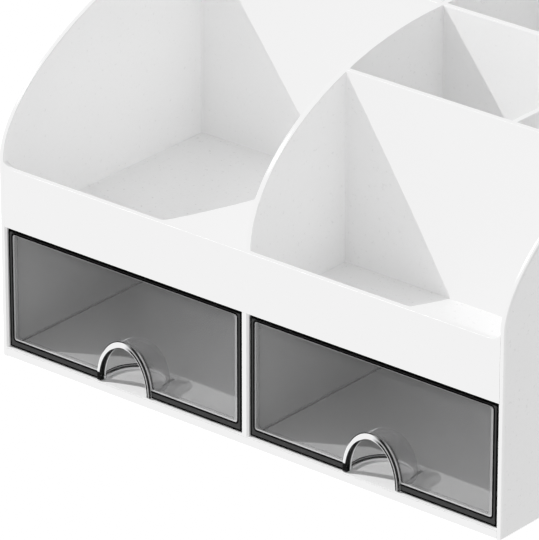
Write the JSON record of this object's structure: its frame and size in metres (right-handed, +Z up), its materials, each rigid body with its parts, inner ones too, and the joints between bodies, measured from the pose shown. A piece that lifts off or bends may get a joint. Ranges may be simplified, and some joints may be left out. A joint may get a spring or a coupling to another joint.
{
  "type": "desk organizer with drawers",
  "caption": "White desktop organiser with stepped open compartments, swept-back sides and smoky clear pull-out drawers with arched finger recesses.",
  "frame": {"origin": "on the resting plane, under the middle of the case's outline", "axes": "+Z up, front with the drawers towards -Y, +X to the right seen from the front"},
  "size_m": [0.26, 0.195, 0.1523],
  "materials": {
    "white_plastic": "satin",
    "smoke_plastic": "clear smoky gloss",
    "rubber": "matte"
  },
  "bodies": {
    "case": {"left_side_panel": "white_plastic", "right_side_panel": "white_plastic", "back_panel": "white_plastic", "front_fascia": "white_plastic", "tray_deck": "white_plastic", "base_plate": "white_plastic", "bay_partition": "white_plastic", "centre_divider": "white_plastic", "front_cross_wall": "white_plastic", "rear_cross_wall": "white_plastic", "pen_divider": "white_plastic", "foot_pads": "rubber"},
    "left_drawer": {"left_drawer_face": "smoke_plastic", "left_drawer_pull": "smoke_plastic", "left_drawer_floor": "smoke_plastic", "left_drawer_left_wall": "smoke_plastic", "left_drawer_right_wall": "smoke_plastic", "left_drawer_back_wall": "smoke_plastic"},
    "right_drawer": {"right_drawer_face": "smoke_plastic", "right_drawer_pull": "smoke_plastic", "right_drawer_floor": "smoke_plastic", "right_drawer_left_wall": "smoke_plastic", "right_drawer_right_wall": "smoke_plastic", "right_drawer_back_wall": "smoke_plastic"}
  },
  "joints": [
    {"name": "left_drawer_slide", "type": "slide", "parent": "case", "child": "left_drawer", "axis": [0, -1, 0], "range_m": [0, 0.13]},
    {"name": "right_drawer_slide", "type": "slide", "parent": "case", "child": "right_drawer", "axis": [0, -1, 0], "range_m": [0, 0.13]}
  ]
}
